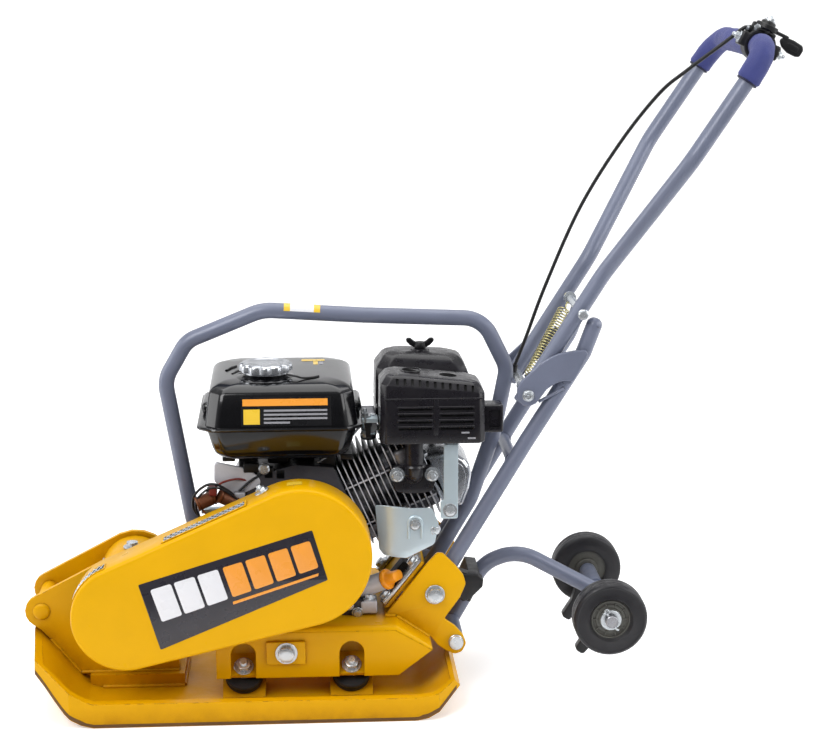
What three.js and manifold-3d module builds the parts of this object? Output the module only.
// Plate compactor: base plate with exciter, sprung engine deck, belt drive, folding handle,
// throttle and swing-down transport wheels. Millimetres, +Z up.
// Origin: centre of the flat sole. +X runs to the operator's end (rear), -Y is the belt side
// (left). Two-number places are [X, Z] in side view unless said otherwise.
import * as THREE from 'three';
import { mergeVertices } from 'three/addons/utils/BufferGeometryUtils.js';
import Module from 'manifold-3d';

const wasm = await Module();
wasm.setup();

// ---------------------------------------------------------------- driving dimensions
const GAP = 0.3;                    // clearance between separate pieces

const PLATE_HALF_W = 175;
const PLATE_FLOOR = 9;
const PLATE_RIM = 12;

const CRANK = [63, 213];
const CRANK_R = 12.5;
const CYL_TILT = 24;                // degrees the cylinder rises to the rear

const SHAFT = [-150, 136];          // exciter axis
const SHAFT_R = 13;
const TIE_BAR = [-264, 109];
const SEAT_TOP = 26;                // seat under the exciter
const CHEEK_Y = [42, 50];           // inner and outer face of an exciter cheek
const BEARING_R = 31;

const DECK_HALF_W = 120;
const DECK_Z = [99, 105];
const DECK_TOP = DECK_Z[1];
const ON_DECK = DECK_TOP + GAP;
const DECK_SHEET = DECK_Z[1] - DECK_Z[0];

const GUARD_Y = [-165, -112];
const GUARD_BIG = [66, 208];
const GUARD_SMALL = [-148, 136];
const GUARD_WALL = 2.5;
const PULLEY_Y = [-152, -128];
const CLUTCH_R = 42;
const EXCITER_PULLEY_R = 47;

const MOUNT_X = [-7, 129];
const MOUNT_FACE = [95, 38];        // |Y|, Z of the upper end face of a mount's rubber
const MOUNT_TILT = 40;              // degrees from vertical

const BRACKET_Y = [78, 84];
const TUBE_R = 10;
const PIN_R = 6;
const PIN_BORE = PIN_R + GAP;
const LOWER_PIVOT = [236, 133];
const FOLD_PIVOT = [352.3, 389.6];
const LATCH = [420, 491];
const LATCH_R = 5;
const LOWER_TUBE_Y = 64;
const GRIP_HALF_W = 140;
const UPPER_KNEE = [536, 685];      // where the widened handle legs turn parallel again
const HANDLE_TOP = [626, 820];      // axis of the grip bar
const THROTTLE_Y = -80;
const LEVER_TILT = 25;              // throttle lever axis, degrees behind vertical

const WHEEL_PIVOT = [263, 69];
const WHEEL_AXIS = [457, 105];
const WHEEL_R = 47;
const WHEEL_Y = 103;

// ---------------------------------------------------------------- finishes
const YELLOW = { color: 0xe2ac00, roughness: 0.38, metalness: 0.1 };
const GREY = { color: 0x6c7184, roughness: 0.42, metalness: 0.3 };
const BLACK = { color: 0x19191c, roughness: 0.2, metalness: 0.2 };
const SATIN = { color: 0x2d2b32, roughness: 0.55, metalness: 0.4 };
const DARK = { color: 0x3c3a3e, roughness: 0.6, metalness: 0.0 };
const ALU = { color: 0xc8c8cd, roughness: 0.4, metalness: 0.9 };
const ZINC = { color: 0xaac3c8, roughness: 0.3, metalness: 0.9 };
const STEEL = { color: 0xb0b0b4, roughness: 0.3, metalness: 1.0 };
const RUBBER = { color: 0x1c1c1e, roughness: 0.8, metalness: 0.0 };
const TYRE = { color: 0x3a393e, roughness: 0.75, metalness: 0.0 };
const FOAM = { color: 0x525894, roughness: 0.9, metalness: 0.0 };
const GOLD = { color: 0xaaa064, roughness: 0.35, metalness: 0.9 };
const ORANGE = { color: 0xeb9614, roughness: 0.45, metalness: 0.0 };

// ---------------------------------------------------------------- places and outlines
const SIDES = [[-1, 'left'], [1, 'right']];
const SIGNS = [-1, 1];
const rad = (degrees) => degrees * Math.PI / 180;
const vec = (x, y, z) => new THREE.Vector3(x, y, z);
const onAxis = ([x, z], y = 0) => [x, y, z];
const across = (half) => [-half, half];
// Y range between two distances from the centre plane, on one side
const span = (side, inner, outer) => (side < 0 ? [-outer, -inner] : [inner, outer]);
const flipSecond = (points, side) => points.map(([first, second]) => [first, side * second]);
// a path followed by its own mirror image in Y
const withMirror = (half) => [...half, ...half.slice().reverse().map(([x, y, z]) => [x, -y, z])];

function arc([centreA, centreB], radius, start, end, steps) {
  return Array.from({ length: steps + 1 }, (_, i) => {
    const angle = rad(start + (end - start) * i / steps);
    return [centreA + radius * Math.cos(angle), centreB + radius * Math.sin(angle)];
  });
}
function roundRect([a0, a1], [b0, b1], radius, steps = 4) {
  const corners = [
    [a1 - radius, b1 - radius], [a0 + radius, b1 - radius],
    [a0 + radius, b0 + radius], [a1 - radius, b0 + radius],
  ];
  return corners.flatMap((centre, i) => arc(centre, radius, 90 * i, 90 * i + 90, steps));
}
// convex outline round two circles
function beltOutline(centre0, radius0, centre1, radius1, steps0, steps1) {
  const run = centre1[0] - centre0[0];
  const rise = centre1[1] - centre0[1];
  const heading = Math.atan2(rise, run) / rad(1);
  const wrap = Math.acos((radius0 - radius1) / Math.hypot(run, rise)) / rad(1);
  return [
    ...arc(centre0, radius0, heading + wrap, heading + 360 - wrap, steps0),
    ...arc(centre1, radius1, heading - wrap, heading + wrap, steps1),
  ];
}

// ---------------------------------------------------------------- solids
function solid(geometry) {
  for (const key of Object.keys(geometry.attributes)) {
    if (key !== 'position') geometry.deleteAttribute(key);
  }
  const merged = mergeVertices(geometry, 1e-3);
  const index = merged.index.array;
  const triangles = [];
  for (let i = 0; i < index.length; i += 3) {
    const [a, b, c] = [index[i], index[i + 1], index[i + 2]];
    if (a !== b && b !== c && a !== c) triangles.push(a, b, c);
  }
  return new wasm.Manifold(new wasm.Mesh({
    numProp: 3,
    vertProperties: Float32Array.from(merged.attributes.position.array),
    triVerts: Uint32Array.from(triangles),
  }));
}
const join = (...parts) => parts.reduce((whole, part) => whole.add(part));
const cut = (body, ...tools) => tools.reduce((rest, tool) => rest.subtract(tool), body);

// ranges are [low, high]
function box([x0, x1], [y0, y1], [z0, z1]) {
  return solid(new THREE.BoxGeometry(x1 - x0, y1 - y0, z1 - z0)
    .translate((x0 + x1) / 2, (y0 + y1) / 2, (z0 + z1) / 2));
}
function cylinderY([x, z], radius, [y0, y1], segments = 24) {
  return solid(new THREE.CylinderGeometry(radius, radius, y1 - y0, segments)
    .translate(x, (y0 + y1) / 2, z));
}
function cylinderZ([x, y], radius, [z0, z1], segments) {
  return solid(new THREE.CylinderGeometry(radius, radius, z1 - z0, segments)
    .rotateX(Math.PI / 2).translate(x, y, (z0 + z1) / 2));
}
function rod(from, to, startR, endR, segments) {
  const start = vec(...from);
  const axis = vec(...to).sub(start);
  const geometry = new THREE.CylinderGeometry(endR, startR, axis.length(), segments);
  const middle = start.addScaledVector(axis, 0.5);
  geometry.applyQuaternion(
    new THREE.Quaternion().setFromUnitVectors(vec(0, 1, 0), axis.normalize()));
  return solid(geometry.translate(middle.x, middle.y, middle.z));
}
// profile: [radius, Y]
function latheY(profile, [x, z], segments, y = 0) {
  const points = profile.map(([radius, height]) => new THREE.Vector2(radius, height));
  return solid(new THREE.LatheGeometry(points, segments).translate(x, y, z));
}

const shapeOf = (outline) => new THREE.Shape(outline.map(([a, b]) => new THREE.Vector2(a, b)));
function extrude(outline, [low, high], bevel = 0) {
  return new THREE.ExtrudeGeometry(shapeOf(outline), {
    depth: high - low - 2 * bevel,
    bevelEnabled: bevel > 0,
    bevelThickness: bevel,
    bevelSize: bevel,
    bevelOffset: -bevel,
    bevelSegments: 2,
    steps: 1,
    curveSegments: 1,
  });
}
const plateXZ = (outline, range) =>
  solid(extrude(outline, range).rotateX(Math.PI / 2).translate(0, range[1], 0));
const plateYZ = (outline, range) =>
  solid(extrude(outline, range).rotateX(Math.PI / 2).rotateZ(Math.PI / 2)
    .translate(range[0], 0, 0));
const plateXY = (outline, range, bevel = 0) =>
  solid(extrude(outline, range, bevel).translate(0, 0, range[0] + bevel));

// a path whose sweep steps land exactly on its vertices
class VertexPath extends THREE.Curve {
  constructor(points) {
    super();
    this.points = points;
  }
  getPoint(u) {
    const last = this.points.length - 1;
    const place = Math.min(u * last, last - 1e-9);
    const i = Math.floor(place);
    return this.points[i].clone().lerp(this.points[i + 1], u >= 1 ? 1 : place - i);
  }
  getPointAt(u) {
    return this.getPoint(u);
  }
  getTangentAt(u) {
    const last = this.points.length - 1;
    const k = Math.round(u * last);
    const tangent = vec(0, 0, 0);
    const addLeg = (i) =>
      tangent.add(this.points[i + 1].clone().sub(this.points[i]).normalize());
    if (k > 0) addLeg(k - 1);
    if (k < last) addLeg(k);
    return tangent.normalize();
  }
}
// rounds each inner corner of a path with its own radius
function filletPath(corners, radii, steps) {
  const points = corners.map((corner) => vec(...corner));
  const path = [points[0]];
  for (let i = 1; i < points.length - 1; i++) {
    const corner = points[i];
    const radius = radii[i - 1];
    const back = points[i - 1].clone().sub(corner).normalize();
    const ahead = points[i + 1].clone().sub(corner).normalize();
    const angle = back.angleTo(ahead);
    // nearly straight: nothing to round
    if (angle > 3.1) {
      path.push(corner);
      continue;
    }
    const setback = radius / Math.tan(angle / 2);
    const bisector = back.clone().add(ahead).normalize();
    const centre = corner.clone().addScaledVector(bisector, radius / Math.sin(angle / 2));
    const start = corner.clone().addScaledVector(back, setback).sub(centre);
    const end = corner.clone().addScaledVector(ahead, setback).sub(centre);
    const sweep = start.angleTo(end);
    const axis = start.clone().cross(end).normalize();
    for (let k = 0; k <= steps; k++) {
      path.push(start.clone().applyAxisAngle(axis, sweep * k / steps).add(centre));
    }
  }
  path.push(points[points.length - 1]);
  return path;
}
function tube(path, radius, sides) {
  const section = arc([0, 0], radius, 0, 360 - 360 / sides, sides - 1);
  return solid(new THREE.ExtrudeGeometry(shapeOf(section), {
    steps: path.length - 1,
    bevelEnabled: false,
    curveSegments: 1,
    extrudePath: new VertexPath(path),
  }));
}
// shank along Y with a head at each end; head: [inner, outer] distance from the centre plane
function throughBolt(centre, { radius, reach, segments, headR, head, headSegments = 6 }) {
  return join(
    cylinderY(centre, radius, across(reach), segments),
    ...SIGNS.map((side) => cylinderY(centre, headR, span(side, ...head), headSegments)),
  );
}

// ---------------------------------------------------------------- scene graph
const machine = new THREE.Group();
const base = new THREE.Group();
const exciter = new THREE.Group();
const deck = new THREE.Group();
const engine = new THREE.Group();
const handle = new THREE.Group();
const carriage = new THREE.Group();
machine.add(base, exciter, deck, handle, carriage);
deck.add(engine);

function geometryOf(body, origin) {
  const mesh = body.simplify(0.02).getMesh();
  const positions = mesh.vertProperties.map((value, i) => value - origin[i % 3]);
  const geometry = new THREE.BufferGeometry();
  geometry.setAttribute('position', new THREE.BufferAttribute(positions, 3));
  geometry.setIndex(Array.from(mesh.triVerts));
  geometry.computeVertexNormals();
  return geometry;
}
function add(group, name, body, finish, origin = [0, 0, 0]) {
  const mesh = new THREE.Mesh(geometryOf(body, origin), new THREE.MeshStandardMaterial(finish));
  mesh.name = name;
  mesh.position.set(...origin);
  group.add(mesh);
}

// ================================================================ base plate
// [X, Z] side profile of the underside, front to rear
const SOLE_UNDER = [
  [-282, 78], [-272, 69], [-262, 59], [-250, 46], [-238, 31], [-226, 17.5], [-217, 10.5],
  [-205, 4], [-190, 0], [208, 0], [222, 3], [236, 11], [249, 23], [263, 36],
];
// [X, Z] side profile of the upper edge, rear to front
const SOLE_OVER = [
  [256, 46], [237, 36], [224, 32], [207, 30], [-190, 31], [-201, 35], [-213, 42],
  [-226, 51], [-240, 62], [-262, 78], [-276, 87],
];
// [X, Z] side profile of the hollow inside the rim
const TRAY = [
  [-267, 82.5], [-254, 70], [-241, 55], [-228, 38], [-215, 23], [-201, 13],
  [-186, PLATE_FLOOR], [206, PLATE_FLOOR], [219, 12], [231, 20], [243, 31], [251, 39],
  [251, 120], [-267, 120],
];
// [X, |Y|] areas taken off the bowed front and the rear corners
const SHELL_TRIMS = [
  [[-276, 0], [-273.5, 50], [-267.5, 100], [-262.5, 143], [-215, 178], [-215, 200],
    [-310, 200], [-310, 0]],
  [[268, 146], [268, 178], [232, 178]],
];
const TRAY_TRIMS = [
  [[-266.5, 0], [-264, 50], [-258, 100], [-253, 138], [-208, 170.5], [-208, 200],
    [-310, 200], [-310, 0]],
  [[258, 141], [224, 170.5], [224, 200], [300, 200], [300, 141]],
];
// [|Y|, Z] section of a sloped boss under a rubber mount
const MOUNT_BOSS = [[107, 8], [107, 9.4], [66.5, 43.2], [58, 43.2], [58, 8]];

function trimCorners(body, trims, top) {
  const tools = SIGNS.flatMap((side) =>
    trims.map((trim) => plateXY(flipSecond(trim, side), [-5, top])));
  return cut(body, ...tools);
}
function basePlate() {
  const profile = [...SOLE_UNDER, ...SOLE_OVER];
  const shell = trimCorners(plateXZ(profile, across(PLATE_HALF_W)), SHELL_TRIMS, 120);
  // the rim follows the trimmed corners
  const tray = trimCorners(plateXZ(TRAY, across(PLATE_HALF_W - PLATE_RIM)), TRAY_TRIMS, 130);
  const bosses = SIGNS.flatMap((side) => MOUNT_X.map((x) =>
    plateYZ(MOUNT_BOSS.map(([y, z]) => [side * y, z]), [x - 27, x + 27])));
  const exciterSeat = box([-204, -84], across(62), [8, SEAT_TOP]);
  return join(cut(shell, tray), ...bosses, exciterSeat);
}
add(base, 'base_plate', basePlate(), YELLOW);

// ---------------------------------------------------------------- exciter
const CHEEK_OUTLINE = [
  ...arc(SHAFT, 50, -32, 114, 8),
  ...arc(TIE_BAR, 21, 112, 240, 6),
  [-265.5, 84.6], [-253.4, 71], [-240.4, 56], [-227.4, 39],
  [-217, SEAT_TOP + GAP], [-90, SEAT_TOP + GAP], [-94, 60],
];
const HOUSING_Y = across(CHEEK_Y[0] - GAP);
const CHEEK_OUTSIDE = CHEEK_Y[1] + GAP;

// side plate standing on the seat
function exciterCheek(side) {
  const boreY = span(side, CHEEK_Y[0] - 5, CHEEK_Y[1] + 5);
  return cut(
    plateXZ(CHEEK_OUTLINE, span(side, ...CHEEK_Y)),
    cylinderY(SHAFT, BEARING_R + GAP, boreY),
    cylinderY(TIE_BAR, PIN_BORE, boreY, 16),
  );
}
for (const [side, word] of SIDES) {
  add(base, `${word}_exciter_cheek`, exciterCheek(side), YELLOW);
}

function frontTieBar() {
  return join(
    cylinderY(TIE_BAR, 11, HOUSING_Y, 16),
    throughBolt(TIE_BAR, {
      radius: PIN_R, reach: 51, segments: 12,
      headR: 11, head: [CHEEK_OUTSIDE, 52.3], headSegments: 16,
    }),
  );
}
add(base, 'front_tie_bar', frontTieBar(), YELLOW, onAxis(TIE_BAR));

function exciterHousing() {
  const body = join(
    cylinderY(SHAFT, 44, HOUSING_Y, 28),
    box([-182, -118], HOUSING_Y, [SEAT_TOP + GAP, 110]),
  );
  return cut(body, cylinderY(SHAFT, 36, across(60), 28));
}
add(base, 'exciter_housing', exciterHousing(), YELLOW);

function exciterBearing(side) {
  const body = join(
    cylinderY(SHAFT, BEARING_R, span(side, 38, 58)),
    cylinderY(SHAFT, 38, span(side, CHEEK_OUTSIDE, 58)),
  );
  return cut(body, cylinderY(SHAFT, SHAFT_R + GAP, across(70), 20));
}
for (const [side, word] of SIDES) {
  add(base, `${word}_exciter_bearing`, exciterBearing(side), STEEL);
}

function eccentricShaft() {
  const [x, z] = SHAFT;
  const weight = [...arc(SHAFT, 33, 180, 360, 10), [x + 14, z + 6], [x - 14, z + 6]];
  return join(cylinderY(SHAFT, SHAFT_R, [-158, 56], 20), plateXZ(weight, across(34)));
}
add(exciter, 'eccentric_shaft', eccentricShaft(), STEEL, onAxis(SHAFT));

// grooved rim shared by both pulleys, from the bore at the outboard face to the inboard rim
function grooveProfile(bore, rim) {
  const [outboard, inboard] = PULLEY_Y;
  const root = rim - 10;
  return [
    [bore, outboard], [rim, outboard], [rim, outboard + 4], [root, outboard + 9],
    [root, inboard - 9], [rim, inboard - 4], [rim, inboard],
  ];
}
function exciterPulley() {
  const bore = SHAFT_R + GAP;
  const closing = [[bore, PULLEY_Y[1]], [bore, PULLEY_Y[0]]];
  return latheY([...grooveProfile(bore, EXCITER_PULLEY_R), ...closing], SHAFT, 20);
}
add(exciter, 'exciter_pulley', exciterPulley(), DARK,
  onAxis(SHAFT, (PULLEY_Y[0] + PULLEY_Y[1]) / 2));

// ---------------------------------------------------------------- rubber mounts
// [Y, Z] at a distance up the outward-leaning mount axis, and inward along its end face
function mountPoint(side, up, inward = 0) {
  const sin = Math.sin(rad(MOUNT_TILT));
  const cos = Math.cos(rad(MOUNT_TILT));
  const [faceY, faceZ] = MOUNT_FACE;
  return [side * (faceY + sin * up - cos * inward), faceZ + cos * up + sin * inward];
}
function rubberMount(side, x) {
  const at = (up) => [x, ...mountPoint(side, up)];
  return join(rod(at(-13.7), at(0), 24, 24, 20), rod(at(-1), at(9.7), 9, 9, 12));
}
for (const [side, word] of SIDES) {
  for (const [i, end] of ['front', 'rear'].entries()) {
    add(base, `${end}_${word}_rubber_mount`, rubberMount(side, MOUNT_X[i]), RUBBER,
      [MOUNT_X[i], ...mountPoint(side, 0)]);
  }
}

// ================================================================ sprung deck
const DECK_FRONT = -41;
const DECK_SHEET_OUTLINE = [
  [DECK_FRONT, DECK_Z[0]], [184.2, DECK_Z[0]], [226.2, 71], [229.5, 76], [186, DECK_TOP],
  [DECK_FRONT, DECK_TOP],
];
const SKIRT_OUTLINE = [
  [DECK_FRONT, 39], [188, 39], [231, 72], [229.5, 76], [186, DECK_TOP], [DECK_FRONT, DECK_TOP],
];

// side skirt with an arched opening at each mount
function deckSkirt(side) {
  const halfW = 15.5;
  const arches = MOUNT_X.map((x) => plateXZ(
    [[x - halfW, 30], ...arc([x, 70], halfW, 180, 0, 8), [x + halfW, 30]],
    span(side, 100, 130)));
  return cut(plateXZ(SKIRT_OUTLINE, span(side, DECK_HALF_W - DECK_SHEET, DECK_HALF_W)), ...arches);
}
// sloped seat on top of a mount with a web up to the deck
function mountSeat(side, x) {
  const web = mountPoint(side, 15, 19);
  const outline = [
    mountPoint(side, 10, -19), mountPoint(side, 15, -19), web,
    [web[0], 100], [web[0] - side * 6, 100], mountPoint(side, 10, 22),
  ];
  return plateYZ(outline, [x - 20, x + 20]);
}
function engineDeck() {
  const parts = [plateXZ(DECK_SHEET_OUTLINE, across(DECK_HALF_W))];
  for (const side of SIGNS) {
    parts.push(deckSkirt(side), ...MOUNT_X.map((x) => mountSeat(side, x)));
  }
  return join(...parts);
}
add(deck, 'engine_deck', engineDeck(), YELLOW);

// ---------------------------------------------------------------- handle brackets
const BRACKET_FOOT = [172, ON_DECK];
const BRACKET_SHOULDER = [227, 175];
const BRACKET_OUTLINE = [
  BRACKET_FOOT, BRACKET_SHOULDER, [238.5, 187.5], [246, 187], [261, 172], [272, 158],
  [275.5, 146], [268, 128], [248, 100], [262, 90], [272, 78], [276.5, 66], [271, 55],
  [262, 52], [251, 57], [240, 64.5], [231.8, 75], [186.4, ON_DECK],
];
function handleBracket(side) {
  const bores = [LOWER_PIVOT, WHEEL_PIVOT].map((pivot) =>
    cylinderY(pivot, PIN_BORE, span(side, 70, 95), 16));
  return cut(plateXZ(BRACKET_OUTLINE, span(side, ...BRACKET_Y)), ...bores);
}
for (const [side, word] of SIDES) {
  add(deck, `${word}_handle_bracket`, handleBracket(side), YELLOW);
}

// [X, Z] at a distance up the bracket's sloped front edge, and forward off it
function bracketSlope(up, off) {
  const run = BRACKET_SHOULDER[0] - BRACKET_FOOT[0];
  const rise = BRACKET_SHOULDER[1] - BRACKET_FOOT[1];
  const length = Math.hypot(run, rise);
  return [
    BRACKET_FOOT[0] + (run * up - rise * off) / length,
    BRACKET_FOOT[1] + (rise * up + run * off) / length,
  ];
}
// [up, off] corners
const TIE_PLATE = [[10, 0.4], [84, 0.4], [84, 5.4], [6, 5.4]];
const BUFFER = [[26, 5.8], [66, 5.8], [66, 19], [26, 19]];
const onSlope = (corners, range) =>
  plateXZ(corners.map((corner) => bracketSlope(...corner)), range);
add(deck, 'bracket_tie_plate', onSlope(TIE_PLATE, across(76)), YELLOW);
add(deck, 'handle_buffer', onSlope(BUFFER, [-56, -28]), RUBBER);
add(deck, 'handle_pivot_bolt', throughBolt(LOWER_PIVOT, {
  radius: PIN_R, reach: 90, segments: 12, headR: 12, head: [BRACKET_Y[1] + GAP, 92],
}), ZINC, onAxis(LOWER_PIVOT));
add(deck, 'wheel_pivot_rod', throughBolt(WHEEL_PIVOT, {
  radius: PIN_R, reach: 88, segments: 16, headR: 9, head: [BRACKET_Y[1] + GAP, 91],
}), ZINC, onAxis(WHEEL_PIVOT));

// ---------------------------------------------------------------- guards and belt
// [X, Z] corners of the roll-over arch, front foot to rear foot, and their bend radii
const ARCH_CORNERS = [
  [-30, 96], [-72, 215], [-103, 398], [-74, 448], [22, 487], [150, 479], [302, 473],
  [334, 408], [318, 325], [288, 235], [192, 70.3],
];
const ARCH_RADII = [40, 40, 34, 60, 60, 40, 34, 60, 60];
function guardFrame() {
  const path = filletPath(ARCH_CORNERS.map((corner) => onAxis(corner)), ARCH_RADII, 2);
  // the feet are trimmed to the deck's top
  const belowDeck = [[-60, 50], [260, 50], [260, 56], [186.2, ON_DECK + 0.1], [-60, ON_DECK]];
  return cut(
    tube(path, TUBE_R, 10),
    plateXZ(belowDeck, across(30)),
    cylinderY(LOWER_PIVOT, 6.4, across(30), 12),
  );
}
add(deck, 'guard_frame', guardFrame(), GREY);

// shell open toward the engine, relieved where it meets the deck
function beltGuard() {
  const outline = (inset) =>
    beltOutline(GUARD_BIG, 88 - inset, GUARD_SMALL, 67 - inset, 14, 10);
  return cut(
    plateXZ(outline(0), GUARD_Y),
    plateXZ(outline(GUARD_WALL), [GUARD_Y[0] + GUARD_WALL, GUARD_Y[1] + 5]),
    box([-44, 240], [-DECK_HALF_W - 0.5, -90], [30, DECK_TOP + 0.5]),
  );
}
add(deck, 'belt_guard', beltGuard(), YELLOW);

function driveBelt() {
  const outline = (inset) =>
    beltOutline(SHAFT, EXCITER_PULLEY_R - inset, CRANK, CLUTCH_R - inset, 14, 14);
  const beltY = [PULLEY_Y[0] + 9.6, PULLEY_Y[1] - 9.6];
  return cut(plateXZ(outline(1.5), beltY), plateXZ(outline(9.3), [-160, -120]));
}
add(deck, 'drive_belt', driveBelt(), RUBBER);

// ================================================================ engine
const CRANK_BORE = CRANK_R + GAP;
const CRANKCASE_OUTLINE = [
  [-6, ON_DECK], [132, ON_DECK], [143, 118], [146, 168], [156, 191], [109, 296], [60, 300],
  [20, 288], [-12, 262], [-24, 215], [-18, 150],
];
function crankcase() {
  const body = join(
    plateXZ(CRANKCASE_OUTLINE, [-62, 58]),
    cylinderY(CRANK, 40, [-76, -60]),
    // oil filler tube and its foot
    rod([128, -46.4, 124.4], [172.4, -73.7, 149.8], 11.5, 11.5, 12),
    box([118, 146], [-78, -50], [ON_DECK, 124]),
  );
  return cut(body, cylinderY(CRANK, CRANK_BORE, [-90, 70], 20));
}
add(engine, 'crankcase', crankcase(), ALU);
add(engine, 'crankshaft', cylinderY(CRANK, CRANK_R, [-156, 84], 20), STEEL, onAxis(CRANK));

function centrifugalClutch() {
  const [outboard, inboard] = PULLEY_Y;
  const drum = [
    [CLUTCH_R + 6, inboard + 2], [CLUTCH_R + 6, inboard + 28],
    [CRANK_BORE, inboard + 28], [CRANK_BORE, outboard],
  ];
  return latheY([...grooveProfile(CRANK_BORE, CLUTCH_R), ...drum], CRANK, 20);
}
add(engine, 'centrifugal_clutch', centrifugalClutch(), DARK, onAxis(CRANK, -130));

// [radius, Y]
const FLYWHEEL_PROFILE = [
  [CRANK_BORE, 62], [78, 62], [78, 80], [50, 84], [CRANK_BORE, 84], [CRANK_BORE, 62],
];
add(engine, 'flywheel', latheY(FLYWHEEL_PROFILE, CRANK, 28), DARK, onAxis(CRANK, 72));

// ---------------------------------------------------------------- cylinder
// modelled from the crank axis with x along the bore, then tilted into place
const tilt = (body) => body.rotate([0, -CYL_TILT, 0]).translate(onAxis(CRANK));

function fins({ count, start, pitch, thickness, y, z }) {
  return Array.from({ length: count }, (_, i) =>
    box([start + i * pitch, start + thickness + i * pitch], y, z));
}
function cylinderBlock() {
  return tilt(join(
    box([76, 138], across(46), across(46)),
    ...fins({ count: 8, start: 78.5, pitch: 7.5, thickness: 2.5, y: [-60, 50], z: across(58) }),
  ));
}
add(engine, 'cylinder_block', cylinderBlock(), ALU);

function cylinderHead() {
  const head = tilt(join(
    box([139, 181], [-50, 46], across(46)),
    box([139, 144], [-62, 52], across(56)),
    ...fins({ count: 4, start: 149, pitch: 8, thickness: 2.8, y: [-62, 52], z: [-56, 52] }),
    box([150, 176], [-92, -45], [-30, 18]),
  ));
  // the block standing out on the belt side is squared off above and below
  return cut(
    head,
    box([150, 260], [-120, -62.5], [262, 340]),
    box([150, 300], [-120, -62.5], [200, 246]),
  );
}
add(engine, 'cylinder_head', cylinderHead(), ALU);

// [X, Z], fuller at the bottom where it clears the guard arch
const VALVE_COVER_OUTLINE = [
  [250.4, 239.6], [273.5, 237], [282.5, 261], [285.5, 279], [283, 290], [276, 299.5],
  [265, 306.5], [248, 309], [221.4, 305.6],
];
add(engine, 'valve_cover', plateXZ(VALVE_COVER_OUTLINE, [-47, 42]), ALU);
add(engine, 'spark_plug', tilt(join(
  rod([160, 57, 20], [172, 76, 20], 8, 8, 10),
  rod([171, 72, 20], [196, 84, 20], 10, 9, 12),
)), BLACK);

// ---------------------------------------------------------------- blower and recoil starter
// housing round the flywheel, flat across the bottom
function blowerHousing() {
  return cut(
    plateXZ(arc(CRANK, 92, -60, 240, 20), [58.4, 108]),
    plateXZ(arc(CRANK, 84, 0, 345, 23), [50, 104]),
    cylinderY(CRANK, 30, [90, 120]),
  );
}
add(engine, 'blower_housing', blowerHousing(), BLACK);

const STARTER = [CRANK[0] - 44, CRANK[1] + 44];
const STARTER_ROD_R = 5;
// [radius, Y]
const RECOIL_OUTSIDE = [[0, 108.4], [76, 108.4], [76, 128], [66, 140], [30, 146], [0, 146]];
const RECOIL_INSIDE = [[0, 100], [70, 100], [70, 126], [60, 136], [0, 136]];
add(engine, 'recoil_starter_cover', cut(
  latheY(RECOIL_OUTSIDE, CRANK, 24),
  latheY(RECOIL_INSIDE, CRANK, 24),
  cylinderY(STARTER, STARTER_ROD_R + GAP, [100, 160], 12),
), BLACK);

function starterGrip() {
  const [x, z] = STARTER;
  const bar = roundRect([x - 22, x + 22], [z - 6, z + 6], 6, 3);
  return join(cylinderY(STARTER, STARTER_ROD_R, [120, 150], 12), plateXZ(bar, [149, 162]));
}
add(engine, 'starter_grip', starterGrip(), DARK, onAxis(STARTER, 155));

// ---------------------------------------------------------------- fuel tank
const FILLER = [24, -40];           // X, Y
function fuelTank() {
  const footZ = [300.6, 316];
  return join(
    plateXY(roundRect([-44, 134], across(96), 26, 3), [312, 357], 12),    // tub
    plateXY(roundRect([-59, 145], across(106), 22, 3), [354, 358]),       // seam flange
    plateXY(roundRect([-46, 136], across(98), 30, 3), [345, 410], 20),    // domed lid
    cylinderZ(FILLER, 24, [400, 415], 16),
    box([0, 26], [30, 56], footZ),
    box([76, 100], [30, 56], footZ),
    box([0, 26], [-50, -30], footZ),
  );
}
add(engine, 'fuel_tank', fuelTank(), BLACK);

function fuelCap() {
  // five soft lobes round the edge
  const edge = Array.from({ length: 20 }, (_, i) => {
    const angle = rad(i * 18);
    const radius = 33 + 2.2 * Math.cos(5 * angle);
    return [FILLER[0] + radius * Math.cos(angle), FILLER[1] + radius * Math.sin(angle)];
  });
  return join(plateXY(edge, [415.4, 427], 2), cylinderZ(FILLER, 12, [426, 429], 16));
}
add(engine, 'fuel_cap', fuelCap(), ZINC, [...FILLER, 421]);

// ---------------------------------------------------------------- carburettor and air cleaner
add(engine, 'carburettor', join(
  box([146, 165.5], [-34, 44], [326, 354]),
  cylinderZ([155, -18], 10, [322, 330], 14),
  rod([150, 26, 340], [165.6, 26, 340], 13, 13, 14),
), ZINC);
add(engine, 'choke_lever', join(
  rod([154, -34.4, 346], [154, -42, 346], 5, 5, 12),
  box([151, 157], [-46, -40], [330, 350]),
), BLACK, [154, -40, 346]);

const CLEANER_STUD = [226, 60];     // X, Y
add(engine, 'air_cleaner_cover', join(
  plateXY(roundRect([166, 288], [16, 104], 18), [332, 423], 8),
  cylinderZ(CLEANER_STUD, 3.5, [420, 432], 10),
), DARK);
function wingNut() {
  const wings = box([213, 239], [58, 62], [425, 434]);
  return cut(
    join(cylinderZ(CLEANER_STUD, 8, [423.5, 431], 12), wings),
    cylinderZ(CLEANER_STUD, 3.9, [415, 440], 10),
  );
}
add(engine, 'air_cleaner_wing_nut', wingNut(), DARK, [...CLEANER_STUD, 428]);

// ---------------------------------------------------------------- exhaust
add(engine, 'muffler', join(
  plateXY(roundRect([178, 288], [-84, -28], 16), [340, 408], 6),
  box([286, 322], [-72, -48], [344, 374]),
), SATIN);

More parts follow.
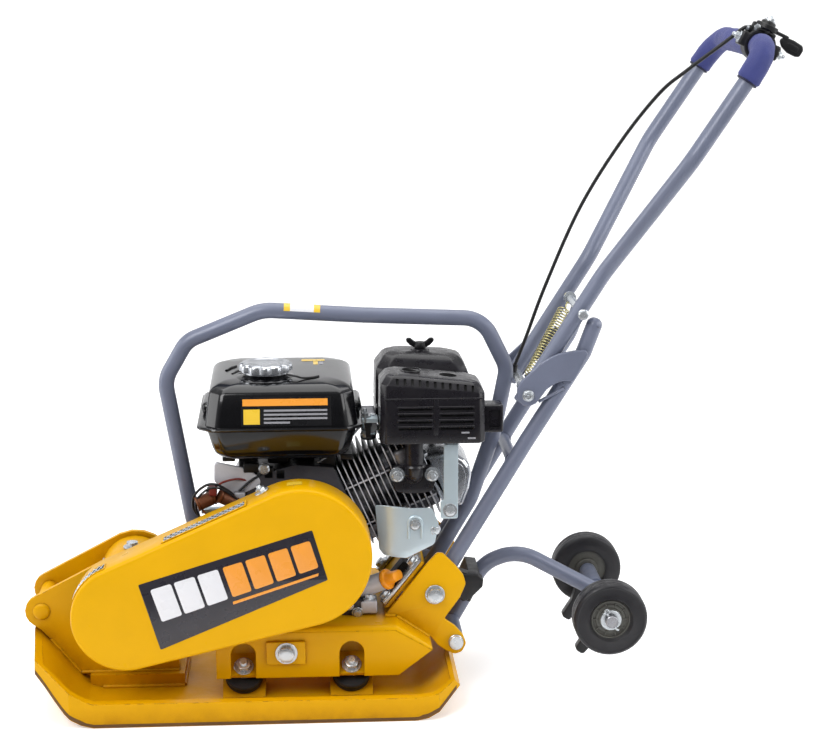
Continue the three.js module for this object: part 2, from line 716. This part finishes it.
function mufflerShield() {
  const tools = [
    plateXY(roundRect([170, 295], [-89, -21], 12), [320, 414], 6),
    box([280, 320], [-74, -46], [342, 376]),
  ];
  // two columns of long slots through the outer face
  for (let i = 0; i < 4; i++) {
    for (const slotX of [[186, 224], [238, 276]]) {
      tools.push(box(slotX, [-100, -85], [356 + i * 10, 360.5 + i * 10]));
    }
  }
  return cut(plateXY(roundRect([167, 298], [-92, -18], 14), [332, 417], 8), ...tools);
}
add(engine, 'muffler_shield', mufflerShield(), SATIN);

// [X, Y]
const EXHAUST_FLANGE = [
  [184, -70], [210, -63], [236, -70], [236, -86], [210, -97], [184, -86],
];
add(engine, 'exhaust_pipe', join(
  rod([210, -76, 339.4], [210, -76, 284], 11.5, 11.5, 14),
  plateXY(EXHAUST_FLANGE, [276, 284.5]),
), SATIN);

// [X, Z]
const SHROUD_OUTLINE = [
  [161, 248], [166, 190], [200, 180], [236, 198], [241, 226], [232, 245.5], [205, 245.5],
];
add(engine, 'cylinder_shroud', plateXZ(SHROUD_OUTLINE, [-78, -74.5]), ZINC);
add(engine, 'muffler_strap', join(
  box([247, 265], [-82, -79], [256, 330]),
  box([243, 265], [-82, -79], [232, 257]),
  box([247, 265], [-82, -66], [327.5, 331.6]),
), ZINC);

// ---------------------------------------------------------------- engine fittings
const OIL_CAP_SEAT = [172.9, -74, 150.1];
add(engine, 'oil_filler_cap', join(
  rod(OIL_CAP_SEAT, [186.5, -82.4, 157.9], 13, 13, 10),
  rod([185.8, -82, 157.5], [191.9, -85.7, 161], 9, 8, 10),
), ORANGE, OIL_CAP_SEAT);

const SWITCH = [-45, 262];
add(engine, 'engine_switch', join(
  cylinderY(SWITCH, 7, [-50, -36], 12),
  box([-48, -42], [-56, -49], [255, 272]),
), DARK, onAxis(SWITCH, -43));

// ================================================================ handle
// [X, Z]
const LOWER_LEG = [[227, 117], [352.7, 327.2], [423, 440], [436, 475.5]];
const FOLD_CHEEK = [
  [339, 398], [338, 384], [346, 375], [356, 374], [372, 386], [404, 400], [428, 440],
  [424, 447], [392, 446], [374, 437], [352, 414],
];
const foldBore = () => cylinderY(FOLD_PIVOT, PIN_BORE, across(100), 14);

function lowerHandle() {
  const parts = SIGNS.flatMap((side) => {
    const leg = LOWER_LEG.map((corner) => onAxis(corner, side * LOWER_TUBE_Y));
    return [
      tube(filletPath(leg, [60, 40], 2), TUBE_R, 10),
      // fold cheek outside the tube, and the block joining it on
      plateXZ(FOLD_CHEEK, span(side, 74.4, 80.2)),
      box([396, 408], span(side, 60, 79), [402, 413]),
    ];
  });
  const brace = rod([336.4, -LOWER_TUBE_Y, 300], [336.4, LOWER_TUBE_Y, 300], 8, 8, 10);
  const pivotBore = cylinderY(LOWER_PIVOT, 6.4, across(100), 12);
  return cut(join(...parts, brace), foldBore(), pivotBore);
}
add(handle, 'lower_handle', lowerHandle(), GREY, onAxis(LOWER_PIVOT));
add(handle, 'fold_pivot_bolt', throughBolt(FOLD_PIVOT, {
  radius: PIN_R, reach: 86, segments: 14, headR: 9, head: [80.6, 87.5],
}), ZINC, onAxis(FOLD_PIVOT));

// two legs swept out to a wide U
function upperHandle() {
  const leg = [
    [345, -LOWER_TUBE_Y, 378.5],
    [447, -LOWER_TUBE_Y, 541],
    onAxis(UPPER_KNEE, -GRIP_HALF_W),
    onAxis(HANDLE_TOP, -GRIP_HALF_W),
  ];
  return cut(
    tube(filletPath(withMirror(leg), [70, 70, 44, 44, 70, 70], 3), TUBE_R, 10),
    foldBore(),
    cylinderY(LATCH, LATCH_R + GAP, across(100), 12),
  );
}
add(handle, 'upper_handle', upperHandle(), GREY, onAxis(FOLD_PIVOT));

// foam sleeve over the top of the U
function handleGrip() {
  const startX = 600;
  const [kneeX, kneeZ] = UPPER_KNEE;
  const slope = (HANDLE_TOP[1] - kneeZ) / (HANDLE_TOP[0] - kneeX);
  const leg = [
    [startX, -GRIP_HALF_W, kneeZ + (startX - kneeX) * slope],
    onAxis(HANDLE_TOP, -GRIP_HALF_W),
  ];
  const path = filletPath(withMirror(leg), [44, 44], 3);
  // the bore runs past both ends of the sleeve
  const pastEnd = (end, next) =>
    end.clone().addScaledVector(end.clone().sub(next).normalize(), 5);
  const borePath = [
    pastEnd(path[0], path[1]), ...path.slice(1, -1), pastEnd(path.at(-1), path.at(-2)),
  ];
  return cut(tube(path, 15, 12), tube(borePath, TUBE_R + 0.5, 10));
}
add(handle, 'handle_grip', handleGrip(), FOAM, onAxis(HANDLE_TOP));
add(handle, 'latch_bolt', throughBolt(LATCH, {
  radius: LATCH_R, reach: 79, segments: 12, headR: 8.5, head: [77, 84],
}), ZINC, onAxis(LATCH));

// return spring, a slim sleeve along its coil axis
{
  const fold = vec(...onAxis(FOLD_PIVOT, -30));
  const latch = vec(...onAxis(LATCH, 42));
  const inset = latch.clone().sub(fold).setLength(14);
  const start = fold.add(inset).toArray();
  const end = latch.sub(inset).toArray();
  add(handle, 'latch_spring', rod(start, end, 8, 8, 12), GOLD, start);
}

// ---------------------------------------------------------------- throttle
const THROTTLE = onAxis(HANDLE_TOP, THROTTLE_Y);
const lean = (body) => body.rotate([0, LEVER_TILT, 0]).translate(THROTTLE);
const aroundThrottle = (half) => [THROTTLE_Y - half, THROTTLE_Y + half];

add(handle, 'throttle_clamp', cut(
  join(
    cylinderY(HANDLE_TOP, 19.5, aroundThrottle(12), 18),
    lean(cylinderZ([0, 0], 11, [10, 20], 14)),
    lean(rod([-9, 0, 13], [-19.2, 0, 13], 5, 5, 10)),
  ),
  cylinderY(HANDLE_TOP, 15.5, aroundThrottle(20), 14),
), DARK, THROTTLE);
add(handle, 'throttle_lever', lean(join(
  cylinderZ([0, 0], 14, [20.4, 27], 16),
  cylinderZ([0, 0], 9, [26, 31], 12),
  box([8, 28], across(4), [20.8, 24.6]),
  box([24, 52], across(2), [7.5, 22.5]),
)), BLACK, THROTTLE);

// [X, Y, Z] from the clamp down to the fold
const CABLE_CORNERS = [
  [610, THROTTLE_Y, 841.8], [603, -78, 835.5], [586, -72, 822.5], [545.5, -57, 789.3],
  [514, -40, 759], [471, -15, 696], [426, 10, 612], [386, 28, 510], [362, 34, 440],
  [FOLD_PIVOT[0] - 4, 34, 404],
];
const CABLE_RADII = [20, 30, 60, 60, 120, 120, 150, 80];
add(handle, 'throttle_cable', tube(filletPath(CABLE_CORNERS, CABLE_RADII, 2), 3.2, 6), BLACK,
  onAxis(FOLD_PIVOT, 36));

// ================================================================ transport wheels
// swan-neck tube on the centre plane
const NECK_PATH = filletPath(
  [onAxis(WHEEL_PIVOT), [306, 0, 146], [350, 0, 164], onAxis(WHEEL_AXIS)], [30, 40], 4);

function wheelCarriage() {
  const [x, z] = WHEEL_AXIS;
  const lug = [
    [x - 12, z - 4], [x + 2, z - 12], [x - 14, z - 46], [x - 30, z - 62], [x - 36, z - 50],
    [x - 24, z - 34],
  ];
  const body = join(
    tube(NECK_PATH, TUBE_R, 10),
    cylinderY(WHEEL_PIVOT, 11, across(68), 20),     // sleeve on the pivot rod
    cylinderY(WHEEL_AXIS, 8, across(125), 12),      // axle
    cylinderY(WHEEL_AXIS, 11, across(85), 14),
    ...SIGNS.map((side) => plateXZ(lug, span(side, 57, 72))),
  );
  return cut(body, cylinderY(WHEEL_PIVOT, 6.4, across(80), 16));
}
add(carriage, 'wheel_carriage', wheelCarriage(), GREY, onAxis(WHEEL_PIVOT));

// [radius, Y from the wheel's middle]
const WHEEL_PROFILE = [
  [8.3, -15], [20, -15], [22, -11], [34, -11], [37, -15], [44, -14], [WHEEL_R, -9],
  [WHEEL_R, 9], [44, 14], [37, 15], [34, 11], [22, 11], [20, 15], [8.3, 15], [8.3, -15],
];
for (const [side, word] of SIDES) {
  const y = side * WHEEL_Y;
  add(carriage, `${word}_wheel`, latheY(WHEEL_PROFILE, WHEEL_AXIS, 24, y), TYRE,
    onAxis(WHEEL_AXIS, y));
}

// snap clip between the handle's left leg and the stowed swan neck
function wheelClip() {
  const y = -LOWER_TUBE_Y;
  const body = join(
    rod([245, y, 145.6], [257, y, 165.6], 13.5, 13.5, 12),
    plateXZ([[258, 146], [266, 160], [290, 152], [282, 132]], [-72, -56]),
    plateXZ([[268, 122], [282, 152], [296, 150], [282, 118]], [-72, 12]),
  );
  return cut(
    body,
    rod([221, y, 107], [352.7, y, 327.2], 10.4, 10.4, 16),
    tube(NECK_PATH, TUBE_R + 0.6, 16),
  );
}
add(handle, 'wheel_clip', wheelClip(), BLACK, [251, -LOWER_TUBE_Y, 156]);

export default machine;
